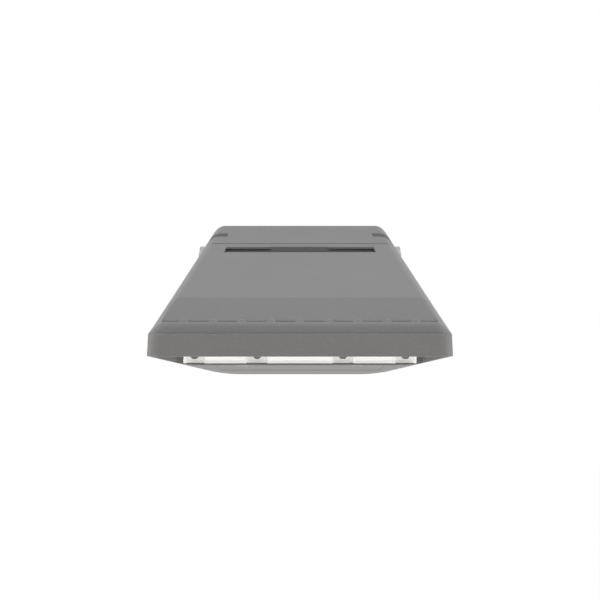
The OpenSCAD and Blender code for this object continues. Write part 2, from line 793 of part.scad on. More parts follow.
// Lip with its ridge, sides and underside, in one casting
module base_casting() color(casting_grey) {
    difference() {
        union() {
            difference() {
                intersection() {
                    loft(0, head_d);
                    union() {
                        below_parting(-over, reach);
                        block(-far, far, -over, ridge_d, -far, far);
                    }
                }
                loft(ridge_d, bay_end_d, wall);
            }
            // Solid that the recesses beside the lens are cut in; the lamp plate rests on it
            both_sides() intersection() {
                loft(0, head_d, wall / 2);
                block(lens_w / 2 + over, far, ridge_d - over, bulkhead_d + over, -far, plate_z);
            }
            floor_slab(bulkhead_d, bay_end_d + over, wall / 2, bay_floor_t, bay_half);
        }
        // Recess for the lens, and the shallower ones beside it
        block(-lens_w / 2 - over, lens_w / 2 + over, wall, bulkhead_d, -far, plate_z);
        both_sides() side_recess();
        // Door opening with its ledge
        floor_slab(door_d0 - door_gap, door_d1 + door_gap, -deep, door_t + stand_off,
            door_half + door_gap);
        floor_slab(door_d0 + ledge_w, door_d1 - 2 * ledge_w, -deep, bay_floor_t + over,
            door_half - ledge_w);
        rod_x(-door_half - door_gap, door_half + door_gap, y_at(door_axis_d), door_axis_z,
            knuckle_room_r);
        both_sides() rod_x(door_half, pin_end_x, y_at(door_axis_d), door_axis_z, door_pin_r);
        at_bosses() {
            translate([0, 0, -over]) cylinder(h = wall + 3 * over, r = screw_r, $fn = smooth);
            translate([0, 0, -deep]) cylinder(h = deep + boss_seat, r = boss_r, $fn = smooth);
        }
        both_sides() rod_y(lock_x, y_at(bay_back_d - over), y_at(seam_d), lock_z, lock_r + running);
    }
    both_sides() difference() {
        translate([latch_x, 0, 0])
            floor_slab(door_d0 + over, latch_d + latch_pad, door_t + stand_off, bay_floor_t, latch_pad);
        latch_place() translate([0, 0, door_t - over]) cylinder(h = deep, r = latch_room_r, $fn = smooth);
    }
}

// Lamp plate with the cooling fins on it
module heat_sink() color([0.66, 0.67, 0.68]) difference() {
    union() {
        block(-lens_w / 2 - plate_side, lens_w / 2 + plate_side, ridge_d, bulkhead_d,
            plate_z, plate_z + plate_t);
        for (x = fin_x) fin(x);
    }
    for (x = [-1, 1], p = lens_screw_at)
        rod_z(x * p[0], y_at(p[1]), plate_z - over, plate_z + plate_t + over, screw_r);
    rod_z(led_lead_x, y_at(led_lead_d), plate_z - over, plate_z + plate_t + over, lead_r + slack);
}

// Box for the driver; it stands on the base casting and is open over the door
module driver_bay() color(casting_grey) difference() {
    bay_shell();
    bay_room();
    for (p = bracket_screw_at)
        both_sides() rod_x(bracket_half - over, bay_half + over, y_at(p), bracket_screw_z, screw_r);
    rod_y(0, y_at(bay_back_d - over), y_at(seam_d), wire_z, grommet_r);
    rod_y(led_lead_x, y_at(bulkhead_d - over), y_at(bay_front_d + over), led_lead_z, lead_r + slack);
    both_sides() rod_y(lock_x, y_at(bay_back_d - over), y_at(seam_d), lock_z, lock_r + running);
}

// Frame of a door latch: its foot on the door's face, Z into the bay
module latch_place() {
    translate([latch_x, y_at(latch_d), low_z(latch_d)]) rotate([-underside_slope, 0, 0]) children();
}

module bay_shell() {
    across(2 * bay_half) polygon([
        [y_at(bulkhead_d), low_z(bulkhead_d) + bay_floor_t],
        [y_at(bay_end_d), low_z(bay_end_d) + bay_floor_t],
        [y_at(bay_end_d), bay_roof_back], [y_at(bulkhead_d), bay_roof_front]
    ]);
}
module bay_room() {
    across(2 * (bay_half - bay_t)) polygon([
        [y_at(bay_front_d), -far], [y_at(bay_back_d), -far],
        [y_at(bay_back_d), bay_roof_back - bay_t],
        [y_at(bay_front_d), bay_roof_front - bay_t]
    ]);
}

module cover_screws() color(steel) at_bosses() {
    head_t = 1.6;
    shank = 14;
    translate([0, 0, boss_seat - head_t]) cylinder(h = head_t, r = boss_r - 1, $fn = smooth);
    translate([0, 0, boss_seat]) cylinder(h = shank, r = screw_r - running, $fn = smooth);
}

board_t = 1.6;
module led_board() color(board_white)
    block(-lens_w / 2 + board_in, lens_w / 2 - board_in, lens_d + board_in, lens_end_d - board_in,
        plate_z - board_t, plate_z);

module led_chips() color([0.95, 0.86, 0.45]) {
    edge = 14;
    chip_t = 1.2;
    span_x = lens_w - 2 * board_in - edge;
    span_d = lens_len - 2 * board_in - edge;
    for (i = [0:chip_cols - 1], j = [0:chip_rows - 1]) {
        x = (i / (chip_cols - 1) - 0.5) * span_x;
        d = lens_d + lens_len / 2 + (j / (chip_rows - 1) - 0.5) * span_d;
        block(x - chip_side / 2, x + chip_side / 2, d - chip_side / 2, d + chip_side / 2,
            plate_z - board_t - chip_t, plate_z - board_t);
    }
}

module lens() color([0.90, 0.92, 0.93]) {
    difference() {
        block(-lens_w / 2, lens_w / 2, lens_d, lens_end_d, lens_z, lens_top_z);
        difference() {
            block(-lens_w / 2 + lens_t, lens_w / 2 - lens_t, lens_d + lens_t, lens_end_d - lens_t,
                lens_z + lens_t, lens_top_z + over);
            at_pockets(lens_t, far);
        }
        at_pockets(0, pocket_z);
        for (x = [-1, 1], p = lens_screw_at)
            rod_z(x * p[0], y_at(p[1]), pocket_z - over, lens_top_z + over, screw_r + running);
    }
}

// Pockets at the lens screws, grown by a wall, up to a height
module at_pockets(grow, top) {
    half = pocket_w / 2 + grow;
    long = pocket_len + grow;
    both_sides() for (x = [lens_screw_in, lens_screw_out]) {
        end = min(x + half, lens_w / 2 - pocket_end + grow);
        block(x - half, end, lens_d - over, lens_d + long, lens_z - over, top);
        block(x - half, end, lens_end_d - long, lens_end_d + over, lens_z - over, top);
    }
}

module lens_gasket() color(rubber_black) {
    edge = 0.5;
    band = 3;
    difference() {
        block(-lens_w / 2 + edge, lens_w / 2 - edge, lens_d + edge, lens_end_d - edge,
            lens_top_z, plate_z);
        block(-lens_w / 2 + edge + band, lens_w / 2 - edge - band, lens_d + edge + band,
            lens_end_d - edge - band, lens_top_z - over, plate_z + over);
    }
}

// Screws with a domed head, dome down
module lens_screws() color(steel) for (x = [-1, 1], p = lens_screw_at)
    translate([x * p[0], y_at(p[1]), pocket_z]) {
        dome_h = 5;
        rotate_extrude($fn = smooth) polygon(concat(
            [[0, 0]], [for (a = [0:15:90]) [lens_screw_head_r * cos(a), -dome_h * sin(a)]]));
        cylinder(h = plate_z + plate_t - pocket_z, r = screw_r - running, $fn = smooth);
    }

bracket_screw_z = bracket_z - bracket_lip / 2;
bracket_screw_in = 12;
bracket_screw_at = [bracket_d0 + bracket_screw_in, bracket_d1 - bracket_screw_in];
driver_side = 10;
driver_x0 = -bracket_half + driver_side;
driver_d0 = bracket_d0 + bracket_end;
driver_top_z = bracket_z - bracket_t;

module driver_bracket() color([0.70, 0.71, 0.72]) difference() {
    union() {
        block(-bracket_half, bracket_half, bracket_d0, bracket_d1, driver_top_z, bracket_z);
        both_sides() block(bracket_half - bracket_t, bracket_half, bracket_d0, bracket_d1,
            bracket_z - bracket_lip, bracket_z);
    }
    for (p = bracket_screw_at) both_sides()
        rod_x(bracket_half - 2 * bracket_t, bracket_half + over, y_at(p), bracket_screw_z,
            screw_r + running);
}

module bracket_screws() color(steel) for (p = bracket_screw_at) both_sides() {
    head_t = 2;
    rod_x(bracket_half - bracket_t - head_t, bracket_half - bracket_t, y_at(p), bracket_screw_z,
        2 * screw_r);
    rod_x(bracket_half - bracket_t, bay_half, y_at(p), bracket_screw_z, screw_r - running);
}

module driver() color([0.82, 0.83, 0.84])
    block(driver_x0, driver_x0 + driver_w, driver_d0, driver_d0 + driver_len,
        driver_top_z - driver_h, driver_top_z);

module surge_protector() color([0.20, 0.20, 0.22]) {
    gap = 8;
    width = 26;
    length = driver_len - 2.5 * gap;
    lower = 6;
    height = driver_h - lower;
    block(driver_x0 + driver_w + gap, driver_x0 + driver_w + gap + width,
        driver_d0 + gap, driver_d0 + gap + length, driver_top_z - height, driver_top_z);
}

// Lead from the driver through the bulkhead and down to the lamp board
module led_lead() color([0.85, 0.85, 0.83]) {
    rod_y(led_lead_x, y_at(led_lead_d), y_at(driver_d0), led_lead_z, lead_r);
    translate([led_lead_x, y_at(led_lead_d), led_lead_z]) sphere(r = lead_r, $fn = 24);
    rod_z(led_lead_x, y_at(led_lead_d), plate_z, led_lead_z, lead_r);
}

input_lead_r = 3;
plug_stub = 2;
module input_lead() color([0.12, 0.12, 0.13])
    rod_y(0, y_at(driver_d0 + driver_len), seam_y + plug_stub, wire_z, input_lead_r);

module grommet() color(rubber_black) difference() {
    flange_t = 1.5;
    union() {
        rod_y(0, y_at(bay_back_d), y_at(head_d), wire_z, grommet_r);
        rod_y(0, y_at(bay_back_d) - flange_t, y_at(bay_back_d), wire_z, grommet_r + 2.5);
    }
    rod_y(0, y_at(bay_back_d) - 2 * flange_t, y_at(seam_d), wire_z, input_lead_r + running);
}

module power_plug() color([0.16, 0.16, 0.17])
    translate([-socket_x, seam_y + plug_stub, socket_z0])
        cube([2 * socket_x, plug_face_y - seam_y - plug_stub, socket_z1 - socket_z0]);

// Captive screws that hold the head shut against the wall box
module lock_screws() color(steel) both_sides() {
    head_t = 3.5;
    head_r = 4.5;
    rod_y(lock_x, y_at(bay_back_d) - head_t, y_at(bay_back_d), lock_z, head_r);
    rod_y(lock_x, y_at(bay_back_d), seam_y + lock_reach, lock_z, lock_r);
}

module driver_door() color(casting_grey) difference() {
    union() {
        floor_slab(door_d0, door_axis_d, 0, door_t, door_half);
        rod_x(-door_half, door_half, y_at(door_axis_d), door_axis_z, door_knuckle_r);
    }
    door_ring(door_t + over);
    both_sides() {
        rod_x(pin_start_x - over, door_half + over, y_at(door_axis_d), door_axis_z,
            door_pin_r + running);
        latch_place() {
            translate([0, 0, -over]) cylinder(h = latch_seat + over, r = latch_r + stand_off, $fn = smooth);
            cylinder(h = 4 * door_t, r = latch_shank_r + running, $fn = smooth);
        }
    }
}

// Seal in the door's inner face
door_gasket_proud = 0.2;
module door_ring(top) {
    edge = 1;
    band = 2.5;
    foot = door_t - 1.5;
    back_d = door_axis_d - door_knuckle_r - 1;
    difference() {
        floor_slab(door_d0 + edge, back_d, foot, top, door_half - edge);
        floor_slab(door_d0 + edge + band, back_d - band, foot - over, top + over,
            door_half - edge - band);
    }
}
module door_gasket() color(rubber_black) door_ring(door_t + door_gasket_proud);

module door_hinge_pins() color(steel) both_sides()
    rod_x(pin_start_x, pin_end_x, y_at(door_axis_d), door_axis_z, door_pin_r);

// Quarter-turn stud with a coin slot
module latch() color(steel) latch_place() {
    sunk = 0.2;
    slot_t = 2;
    slot_depth = 1.4;
    difference() {
        union() {
            translate([0, 0, sunk]) cylinder(h = latch_seat - sunk, r = latch_r, $fn = smooth);
            cylinder(h = latch_tip, r = latch_shank_r, $fn = smooth);
        }
        translate([-latch_r - over, -slot_t / 2, -over])
            cube([2 * (latch_r + over), slot_t, over + slot_depth]);
    }
}
module latch_right() latch();
module latch_left() mirror([1, 0, 0]) latch();

wall_box();
wall_gasket();
head_gasket();
conduit_plug_left();
conduit_plug_right();
hinge_pins();
terminal_block();
ground_screw();
power_socket();
supply_leads();
base_casting();
heat_sink();
driver_bay();
top_cover();
cover_screws();
led_board();
led_chips();
lens();
lens_gasket();
lens_screws();
driver_bracket();
bracket_screws();
driver();
surge_protector();
led_lead();
input_lead();
grommet();
power_plug();
lock_screws();
driver_door();
door_gasket();
door_hinge_pins();
latch_left();
latch_right();
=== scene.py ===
"""Street light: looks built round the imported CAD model. All lengths in metres."""
import json
import math

import bmesh
import bpy
from mathutils import Matrix, Vector


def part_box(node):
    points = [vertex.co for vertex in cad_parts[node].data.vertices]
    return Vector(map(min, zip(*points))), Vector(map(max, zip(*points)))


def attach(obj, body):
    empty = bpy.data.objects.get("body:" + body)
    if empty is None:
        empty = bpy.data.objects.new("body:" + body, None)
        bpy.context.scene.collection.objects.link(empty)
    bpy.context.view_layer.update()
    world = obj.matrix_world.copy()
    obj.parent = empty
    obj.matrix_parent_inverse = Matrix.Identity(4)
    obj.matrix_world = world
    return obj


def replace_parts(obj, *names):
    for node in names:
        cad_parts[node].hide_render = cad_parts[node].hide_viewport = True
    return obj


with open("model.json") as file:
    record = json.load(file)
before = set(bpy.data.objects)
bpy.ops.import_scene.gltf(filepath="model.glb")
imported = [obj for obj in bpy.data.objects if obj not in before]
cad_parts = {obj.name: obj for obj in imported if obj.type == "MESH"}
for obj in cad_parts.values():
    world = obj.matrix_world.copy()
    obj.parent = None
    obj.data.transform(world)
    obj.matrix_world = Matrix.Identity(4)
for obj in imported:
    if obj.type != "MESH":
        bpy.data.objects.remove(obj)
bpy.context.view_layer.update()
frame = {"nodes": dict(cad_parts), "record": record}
MM = 0.001
BODIES = frame["record"]["behaviour"]["bodies"]
BODY_OF = {node: body for body, nodes in BODIES.items() for node in nodes}
SLOT_OF = {s["node"]: s["material_slot"] for s in frame["record"]["subparts"]}


# ---------------------------------------------------------------- camera
# Level with the middle of the back; the focal length is in pixels of the photo
CAMERA_Y = -1.326
FOCAL_PX, PHOTO_PX, SENSOR = 1019, 600, 36
NEAREST, FARTHEST = 0.01, 50


def place_camera():
    cam_data = bpy.data.cameras.new("camera")
    cam = bpy.data.objects.new("camera", cam_data)
    bpy.context.scene.collection.objects.link(cam)
    cam.location = (0, CAMERA_Y, 0)
    cam.rotation_euler = (math.radians(90), 0, 0)
    cam_data.sensor_width = SENSOR
    cam_data.lens = SENSOR * FOCAL_PX / PHOTO_PX
    cam_data.clip_start = NEAREST
    cam_data.clip_end = FARTHEST
    bpy.context.scene.camera = cam


# -------------------------------------------------------------- materials
# Noise in the finishes, in features per metre
COAT_GRAIN, COAT_PITS, COAT_CLOUDS = 900, 750, 14
METAL_STREAKS, METAL_MOTTLE = 700, 60
LENS_RIPPLE = 30

# Values of a noise at which its dark tone ends and its light one begins
TONE_STOPS = (0.3, 0.7)


def principled(name):
    m = bpy.data.materials.new(name)
    m.use_nodes = True
    nodes, links = m.node_tree.nodes, m.node_tree.links
    return m, nodes, links, nodes["Principled BSDF"]


def mapped_noise(nodes, links, scale, detail, stretch=(1, 1, 1)):
    """Noise in object space, with scale in features per metre."""
    coord = nodes.new("ShaderNodeTexCoord")
    mapping = nodes.new("ShaderNodeMapping")
    mapping.inputs["Scale"].default_value = stretch
    noise = nodes.new("ShaderNodeTexNoise")
    noise.inputs["Scale"].default_value = scale
    noise.inputs["Detail"].default_value = detail
    links.new(coord.outputs["Object"], mapping.inputs["Vector"])
    links.new(mapping.outputs["Vector"], noise.inputs["Vector"])
    return noise.outputs["Fac"]


def two_tone(nodes, links, value, dark, light):
    """Colour that follows a noise from a dark tone to a light one."""
    node = nodes.new("ShaderNodeValToRGB")
    for i, color in enumerate((dark, light)):
        stop = node.color_ramp.elements[i]
        stop.position = TONE_STOPS[i]
        stop.color = (*color, 1)
    links.new(value, node.inputs["Fac"])
    return node.outputs["Color"]


def spread(nodes, links, value, low, high):
    """Number that follows a noise from low to high."""
    node = nodes.new("ShaderNodeMapRange")
    node.inputs["To Min"].default_value = low
    node.inputs["To Max"].default_value = high
    links.new(value, node.inputs["Value"])
    return node.outputs["Result"]


def bumped(nodes, links, bsdf, height, strength, distance):
    bump = nodes.new("ShaderNodeBump")
    bump.inputs["Strength"].default_value = strength
    bump.inputs["Distance"].default_value = distance
    links.new(height, bump.inputs["Height"])
    links.new(bump.outputs["Normal"], bsdf.inputs["Normal"])


def tone(color, k):
    return tuple(min(1, c * k) for c in color)


def powder_coat(name, color, rough=0.5, grain=1.0):
    """Fine-grained powder coat with a slight cloudiness."""
    m, nodes, links, bsdf = principled(name)
    contrast, cloud = 0.09 * grain, 0.97
    fine = mapped_noise(nodes, links, COAT_GRAIN, 3)
    broad = mapped_noise(nodes, links, COAT_CLOUDS, 2)
    grains = two_tone(nodes, links, fine, tone(color, 1 - contrast), tone(color, 1 + contrast))
    clouds = two_tone(nodes, links, broad, (cloud,) * 3, (1.0,) * 3)
    mix = nodes.new("ShaderNodeMix")
    mix.data_type = "RGBA"
    mix.blend_type = "MULTIPLY"
    mix.inputs["Factor"].default_value = 1
    links.new(grains, mix.inputs["A"])
    links.new(clouds, mix.inputs["B"])
    links.new(mix.outputs["Result"], bsdf.inputs["Base Color"])
    links.new(spread(nodes, links, fine, rough - 0.06, rough + 0.06), bsdf.inputs["Roughness"])
    bsdf.inputs["Specular IOR Level"].default_value = 0.25
    pits = mapped_noise(nodes, links, COAT_PITS, 2)
    bumped(nodes, links, bsdf, pits, strength=0.35, distance=0.0004)
    return m


def metal(name, color, rough, brushed=(1, 1, 1), metallic=1.0):
    m, nodes, links, bsdf = principled(name)
    streak = mapped_noise(nodes, links, METAL_STREAKS, 3, brushed)
    broad = mapped_noise(nodes, links, METAL_MOTTLE, 2)
    mottled = two_tone(nodes, links, broad, tone(color, 0.88), color)
    links.new(mottled, bsdf.inputs["Base Color"])
    links.new(spread(nodes, links, streak, rough - 0.08, rough + 0.1), bsdf.inputs["Roughness"])
    bsdf.inputs["Metallic"].default_value = metallic
    bumped(nodes, links, bsdf, streak, strength=0.12, distance=0.0001)
    return m


def plastic(name, color, rough, grain_scale=1500, bump=0.1, spec=0.4):
    m, nodes, links, bsdf = principled(name)
    fine = mapped_noise(nodes, links, grain_scale, 2)
    grains = two_tone(nodes, links, fine, tone(color, 0.93), tone(color, 1.05))
    links.new(grains, bsdf.inputs["Base Color"])
    links.new(spread(nodes, links, fine, rough - 0.05, rough + 0.05), bsdf.inputs["Roughness"])
    bsdf.inputs["Specular IOR Level"].default_value = spec
    bumped(nodes, links, bsdf, fine, strength=bump, distance=0.0001)
    return m


def lens_plastic(name, glow=0.288, shade=1.0, clear=0.35):
    """Milky acrylic whose glow stands in for the studio's light through the lens."""
    m, nodes, links, bsdf = principled(name)
    broad = mapped_noise(nodes, links, LENS_RIPPLE, 1)
    dark, light = tone((0.93, 0.925, 0.91), shade), tone((0.95, 0.948, 0.94), shade)
    links.new(two_tone(nodes, links, broad, dark, light), bsdf.inputs["Base Color"])
    links.new(spread(nodes, links, broad, 0.16, 0.22), bsdf.inputs["Roughness"])
    bsdf.inputs["Transmission Weight"].default_value = clear
    bsdf.inputs["IOR"].default_value = 1.49
    bsdf.inputs["Emission Color"].default_value = (1, 0.985, 0.965, 1)
    bsdf.inputs["Emission Strength"].default_value = glow
    bumped(nodes, links, bsdf, broad, strength=0.05, distance=0.0002)
    return m


GREY = (0.263, 0.262, 0.263)
MATERIALS = {
    "casting": powder_coat("coat_grey", GREY),
    "casting_inside": powder_coat("coat_grey_inside", tone(GREY, 0.92)),
    # Painted shade: a darker coat on the outlet slot's forward faces stands in for the shade
    # inside the slot
    "slot_painted_shade": powder_coat("coat_painted_shade", (0.21, 0.21, 0.212), rough=0.6, grain=2.0),
    "bare_aluminium": metal("cast_aluminium", (0.55, 0.56, 0.57), 0.5, metallic=0.8),
    "galvanised": metal("galvanised_sheet", (0.60, 0.61, 0.62), 0.4, brushed=(1, 0.1, 1)),
    "rubber": plastic(
        "rubber", (0.025, 0.025, 0.026), 0.75, grain_scale=900, bump=0.2, spec=0.25
    ),
    "zinc": metal("zinc_plate", (0.54, 0.54, 0.535), 0.58, metallic=0.3),
    "steel": metal("stainless", (0.50, 0.50, 0.505), 0.35, brushed=(0.2, 1, 1)),
    "terminal_plastic": plastic("terminal_moulding", (0.66, 0.62, 0.52), 0.5),
    "ground_green": plastic("ground_green", (0.03, 0.17, 0.06), 0.4),
    "black_plastic": plastic("black_moulding", (0.02, 0.02, 0.022), 0.5),
    "lead_black": plastic("sheath_black", (0.015, 0.015, 0.016), 0.55, grain_scale=600),
    "lead_white": plastic("sheath_white", (0.72, 0.72, 0.70), 0.5, grain_scale=600),
    "board": plastic("solder_mask", (0.85, 0.85, 0.83), 0.35, grain_scale=500, bump=0.05),
    "led": plastic("phosphor", (0.90, 0.72, 0.20), 0.3, grain_scale=2500, bump=0.05),
    "lens": lens_plastic("lens_acrylic"),
    # Painted shade in the lens's screw pockets: weaker painted glow and a colour darkened to 0.9
    "lens_pocket_shade": lens_plastic("lens_acrylic_pocket_shade", glow=0.13, shade=0.9),
    "lens_below": lens_plastic("lens_acrylic_below", glow=0.0, shade=0.95, clear=0.93),
    "dark_steel": metal("blackened_steel", (0.17, 0.17, 0.17), 0.5, metallic=0.4),
    "driver_case": metal("driver_case", (0.62, 0.63, 0.65), 0.38, brushed=(1, 0.08, 1)),
}


# ----------------------------------------------------------------- pieces
# Faces that meet at less than this many degrees are shaded as one
SMOOTH = 40


def finish_piece(ob, node, slot=None, smooth=SMOOTH):
    bpy.context.scene.collection.objects.link(ob)
    me = ob.data
    for p in me.polygons:
        p.use_smooth = True
    me.set_sharp_from_angle(angle=math.radians(smooth))
    slot = slot or SLOT_OF[node]
    me.materials.clear()
    me.materials.append(MATERIALS[slot])
    wn = ob.modifiers.new("even_normals", "WEIGHTED_NORMAL")
    wn.keep_sharp = True
    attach(ob, BODY_OF[node])
    return ob


# Fold across the top of the cover: its place, how near to it an edge lies, the
# lowest height of its ends, its least bend in degrees and its rounding
CREASE_Y = -0.242
CREASE_NEAR = 0.2 * MM
CREASE_LOW_Z = -0.005
CREASE_FOLD = 4
CREASE_BEVEL = 1.6 * MM

# Points nearer than this are one; faces that bend less than this are one
SAME_POINT = 2e-6
FLAT_ANGLE = math.radians(0.6)

# Edges that bend by more degrees than this are rounded
EDGE_FOLD = 38


def on_crease(edge):
    """True for the edges of the fold that runs across the top."""
    a, b = (v.co for v in edge.verts)
    near = max(abs(a.y - CREASE_Y), abs(b.y - CREASE_Y)) < CREASE_NEAR
    return near and min(a.z, b.z) > CREASE_LOW_Z and folded(edge, CREASE_FOLD)


def folded(edge, degrees):
    return len(edge.link_faces) == 2 and edge.calc_face_angle(0) > math.radians(degrees)


def rounded(bm, edges, width, segments):
    bmesh.ops.bevel(bm, geom=edges, offset=width, offset_type="OFFSET", segments=segments,
                    profile=0.5, affect="EDGES", clamp_overlap=False)


def softened(node, width, segments):
    """Copy of a CAD node with its sharp edges rounded; it replaces the node."""
    bm = bmesh.new()
    bm.from_mesh(frame["nodes"][node].data)
    bmesh.ops.remove_doubles(bm, verts=bm.verts, dist=SAME_POINT)
    bmesh.ops.dissolve_limit(bm, angle_limit=FLAT_ANGLE, verts=bm.verts, edges=bm.edges)
    if node == "top_cover":
        rounded(bm, [e for e in bm.edges if on_crease(e)], CREASE_BEVEL, segments=3)
    rounded(bm, [e for e in bm.edges if folded(e, EDGE_FOLD)], width * MM, segments)
    me = bpy.data.meshes.new(node + "_piece")
    bm.to_mesh(me)
    bm.free()
    ob = finish_piece(bpy.data.objects.new(node + "_piece", me), node)
    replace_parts(ob, node)
    return ob


# Rounding of the sharp edges of each node that is carried over, in mm
EDGE_MM = {
    "wall_box": 0.3, "top_cover": 0.5, "base_casting": 0.5, "driver_door": 0.25, "driver_bay": 0.5,
    "heat_sink": 0.35, "lens": 0.5, "conduit_plug_left": 0.4, "conduit_plug_right": 0.4,
    "latch_left": 0.25, "latch_right": 0.25, "lens_screws": 0.2, "cover_screws": 0.3,
    "lock_screws": 0.4, "bracket_screws": 0.3, "ground_screw": 0.3, "hinge_pins": 0.4,
    "door_hinge_pins": 0.2, "terminal_block": 0.5, "power_socket": 0.6, "power_plug": 0.6,
    "surge_protector": 1.5, "driver_bracket": 0.4, "led_board": 0.2,
    "grommet": 0.4, "wall_gasket": 0.4, "head_gasket": 0.15,
    "door_gasket": 0.15, "lens_gasket": 0.15, "led_lead": 0.1, "input_lead": 0.2,
    "supply_leads": 0.1,
}

# Roundings at least this wide, in mm, get three segments and the others two
WIDE_MM = 0.4


def recolour(ob, slot, test=lambda face: True):
    """Give the faces that pass a test another material."""
    ob.data.materials.append(MATERIALS[slot])
    last = len(ob.data.materials) - 1
    for face in ob.data.polygons:
        if test(face):
            face.material_index = last


# Half-size of a screw pocket in the lens, with a little to spare
POCKET_X, POCKET_Y = 11.2 * MM, 6.6 * MM

# Depth from the lens's front and from its underside at which the pockets start,
# height within which the floor lies, and how upright its normals are at least
LENS_FRONT, LENS_LOW = 0.6 * MM, 0.8 * MM
LENS_FLOOR = 4 * MM
LEVEL = 0.9


def lens_below(lens):
    """Test for the level faces of the lens's floor, outside and inside."""
    low = min(v.co.z for v in lens.data.vertices)
    return lambda face: abs(face.normal.z) > LEVEL and face.center.z < low + LENS_FLOOR


def lens_pockets(lens):
    """Test for the faces of the lens that lie inside its screw pockets, which get painted shade.
    """
    screws = [at for at, way in spots("lens_screws", down)]
    front = min(v.co.y for v in lens.data.vertices) + LENS_FRONT
    low = min(v.co.z for v in lens.data.vertices) + LENS_LOW

    def inside(face):
        at = face.center
        near = any(abs(at.x - s.x) < POCKET_X and abs(at.y - s.y) < POCKET_Y for s in screws)
        return near and at.y > front and at.z > low
    return inside


# ------------------------------------------------------------ small details
def islands(me):
    """Vertex positions of each loose part of a mesh."""
    bm = bmesh.new()
    bm.from_mesh(me)
    bmesh.ops.remove_doubles(bm, verts=bm.verts, dist=SAME_POINT)
    seen, parts = set(), []
    for start in bm.verts:
        if start in seen:
            continue
        stack, part = [start], []
        seen.add(start)
        while stack:
            v = stack.pop()
            part.append(v.co.copy())
            for e in v.link_edges:
                other = e.other_vert(v)
                if other not in seen:
                    seen.add(other)
                    stack.append(other)
        parts.append(part)
    bm.free()
    return parts


def down(at):
    return 0, 0, -1


def forward(at):
    return 0, -1, 0


def inward(at):
    return (-1 if at.x > 0 else 1), 0, 0


def spots(node, facing):
    """Middle of each screw head's outer face, with the way that it faces."""
    out = []
    for part in islands(frame["nodes"][node].data):
        low = Vector([min(v[i] for v in part) for i in range(3)])
        high = Vector([max(v[i] for v in part) for i in range(3)])
        middle = (low + high) / 2
        way = Vector(facing(middle))
        axis = max(range(3), key=lambda i: abs(way[i]))
        middle[axis] = high[axis] if way[axis] > 0 else low[axis]
        out.append((middle, way))
    return out


def turned(at, way):
    """Matrix that takes local Z to the way a part faces, at a place."""
    return Matrix.Translation(at) @ way.to_track_quat("Z", "Y").to_matrix().to_4x4()


def lathe(bm, profile, matrix, steps, radius=lambda a: 1.0):
    """Turned form from (radius, height) pairs, closed at both ends."""
    rings = []
    for r, z in profile:
        if r == 0:
            rings.append([bm.verts.new(matrix @ Vector((0, 0, z)))])
            continue
        rings.append([])
        for a in (2 * math.pi * i / steps for i in range(steps)):
            out = r * radius(a)
            at = Vector((out * math.cos(a), out * math.sin(a), z))
            rings[-1].append(bm.verts.new(matrix @ at))
    for low, high in zip(rings, rings[1:]):
        for i in range(steps):
            j = (i + 1) % steps
            corners = [
                low[i % len(low)], low[j % len(low)],
                high[j % len(high)], high[i % len(high)],
            ]
            distinct = [v for k, v in enumerate(corners) if v not in corners[:k]]
            if len(distinct) > 2:
                bm.faces.new(distinct)


def hexagon(a):
    """Reach of a hexagon at an angle, where its flats are 1 from the middle."""
    return 1 / math.cos((a + math.pi / 6) % (math.pi / 3) - math.pi / 6)


def new_piece(name, bm, node, slot, smooth=SMOOTH):
    bmesh.ops.recalc_face_normals(bm, faces=bm.faces)
    me = bpy.data.meshes.new(name)
    bm.to_mesh(me)
    bm.free()
    return finish_piece(bpy.data.objects.new(name, me), node, slot, smooth)


def cut_drives(ob, places, size, depth, sides=hexagon):
    """Sink a drive into each screw head."""
    bm = bmesh.new()
    drill_tip = depth * 1.25
    profile = [(0, -drill_tip), (size, -depth), (size, depth), (0, depth)]
    for at, way in places:
        lathe(bm, profile, turned(at, way), steps=24, radius=sides)
    bmesh.ops.recalc_face_normals(bm, faces=bm.faces)
    me = bpy.data.meshes.new(ob.name + "_cutter")
    bm.to_mesh(me)
    bm.free()
    cutter = bpy.data.objects.new(ob.name + "_cutter", me)
    bpy.context.scene.collection.objects.link(cutter)
    cut = ob.modifiers.new("drive", "BOOLEAN")
    cut.object = cutter
    cut.solver = "EXACT"
    normals = ob.modifiers["even_normals"]
    normals.show_viewport = False
    bpy.context.view_layer.update()
    done = bpy.data.meshes.new_from_object(ob.evaluated_get(bpy.context.evaluated_depsgraph_get()))
    done.materials.clear()
    for m in ob.data.materials:
        done.materials.append(m)
    ob.modifiers.remove(cut)
    normals.show_viewport = True
    ob.data = done
    done.set_sharp_from_angle(angle=math.radians(SMOOTH))
    bpy.data.objects.remove(cutter)


# The way that each set of screws faces, and its drive's half-size and depth in mm
DRIVES = {
    "cover_screws": (down, 1.9, 1.1),
    "lens_screws": (down, 1.7, 2.2),
    "lock_screws": (forward, 2.0, 2.2),
    "bracket_screws": (inward, 1.5, 1.2),
}


def drive_sockets(made):
    for node, (facing, size, depth) in DRIVES.items():
        cut_drives(made[node], spots(node, facing), size * MM, depth * MM)


